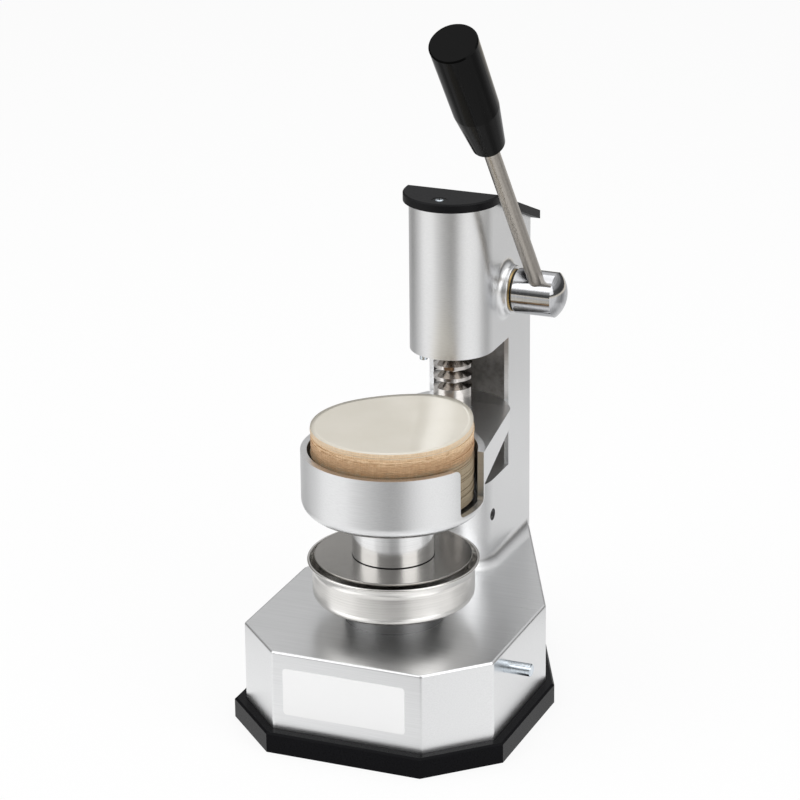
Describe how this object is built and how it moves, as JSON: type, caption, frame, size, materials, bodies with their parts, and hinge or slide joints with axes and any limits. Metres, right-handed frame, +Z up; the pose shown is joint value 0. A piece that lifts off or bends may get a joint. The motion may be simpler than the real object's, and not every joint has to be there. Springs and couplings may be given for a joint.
{
  "type": "burger press",
  "caption": "Lever-operated burger press: side lever and turned rack push a disc into a round mould, with an ejector, a paper cup on the arm and a heavy faceted base.",
  "frame": {"origin": "on the table under the centre of the burger mould", "axes": "+Z up along the press stroke, +Y from the mould to the column, +X to the lever side"},
  "size_m": [0.1916, 0.2629, 0.4552],
  "materials": {
    "cast_aluminium": "satin anodised casting, fine brushed",
    "tray_black": "gloss moulded",
    "cap_black": "matte moulded",
    "zinc_plate": "bright zinc plate",
    "bronze": "machined",
    "black_oxide": "black oxide",
    "satin_steel": "satin stainless",
    "turned_aluminium": "fine turned",
    "ring_rubber": "matte",
    "turned_steel": "polished turned steel",
    "hub_chrome": "mirror chrome",
    "rod_steel": "satin drawn bar",
    "grip_black": "gloss moulded",
    "release_paper": "waxed paper, tan cut edges"
  },
  "bodies": {
    "root": {"base_tray": "tray_black", "tray_screws": "zinc_plate", "body_casting": "cast_aluminium", "top_cap": "cap_black", "cap_screws": "zinc_plate", "head_bush": "bronze", "stop_pin": "zinc_plate", "pedestal_bush": "bronze", "bush_set_screw": "black_oxide", "shaft_bush_left": "bronze", "shaft_bush_right": "bronze", "brass_washer": "bronze", "bowl": "satin_steel", "bowl_foot": "turned_aluminium", "rocker_pin": "zinc_plate", "rocker_bracket": "zinc_plate", "bracket_rivets": "zinc_plate"},
    "lever": {"friction_ring": "ring_rubber", "pinion_shaft": "turned_steel", "pinion": "turned_steel", "pinion_pin": "turned_steel", "shaft_ring": "black_oxide", "lever_hub": "hub_chrome", "hub_set_screw": "black_oxide", "lever_rod": "rod_steel", "lever_grip": "grip_black"},
    "ram": {"ram": "turned_steel", "cross_pin": "turned_steel", "press_arm": "cast_aluminium", "arm_clamp_screw": "black_oxide", "press_stub": "turned_aluminium", "press_disc": "satin_steel", "disc_bolt": "zinc_plate", "disc_nut": "zinc_plate", "paper_discs": "release_paper"},
    "ejector": {"ejector_plate": "satin_steel", "plate_screw": "zinc_plate", "ejector_rod": "turned_steel"},
    "rocker": {"rocker": "zinc_plate"},
    "lock": {"lock_pin": "zinc_plate", "lock_clip": "black_oxide"}
  },
  "joints": [
    {"name": "lever_turn", "type": "hinge", "parent": "root", "child": "lever", "pos_m": [0, 0.1255, 0.2455], "axis": [1, 0, 0], "range_deg": [-137.5, 68.75]},
    {"name": "ram_slide", "type": "slide", "parent": "root", "child": "ram", "axis": [0, 0, 1], "range_m": [-0.0151, 0.0301]},
    {"name": "ejector_lift", "type": "slide", "parent": "root", "child": "ejector", "axis": [0, 0, 1], "range_m": [-0.00575, 0.01145]},
    {"name": "rocker_swing", "type": "hinge", "parent": "root", "child": "rocker", "pos_m": [0, -0.062, 0.02], "axis": [1, 0, 0], "range_deg": [-5.3, 10.6]},
    {"name": "lock_pull", "type": "slide", "parent": "root", "child": "lock", "axis": [1, 0, 0], "range_m": [0, 0.03]}
  ],
  "couplings": [
    {"joint": "ram_slide", "follows": "lever_turn", "m_per_rad": -0.0125},
    {"joint": "ejector_lift", "follows": "lever_turn", "m_per_rad": -0.0047256},
    {"joint": "rocker_swing", "follows": "lever_turn", "ratio": -0.07622}
  ]
}
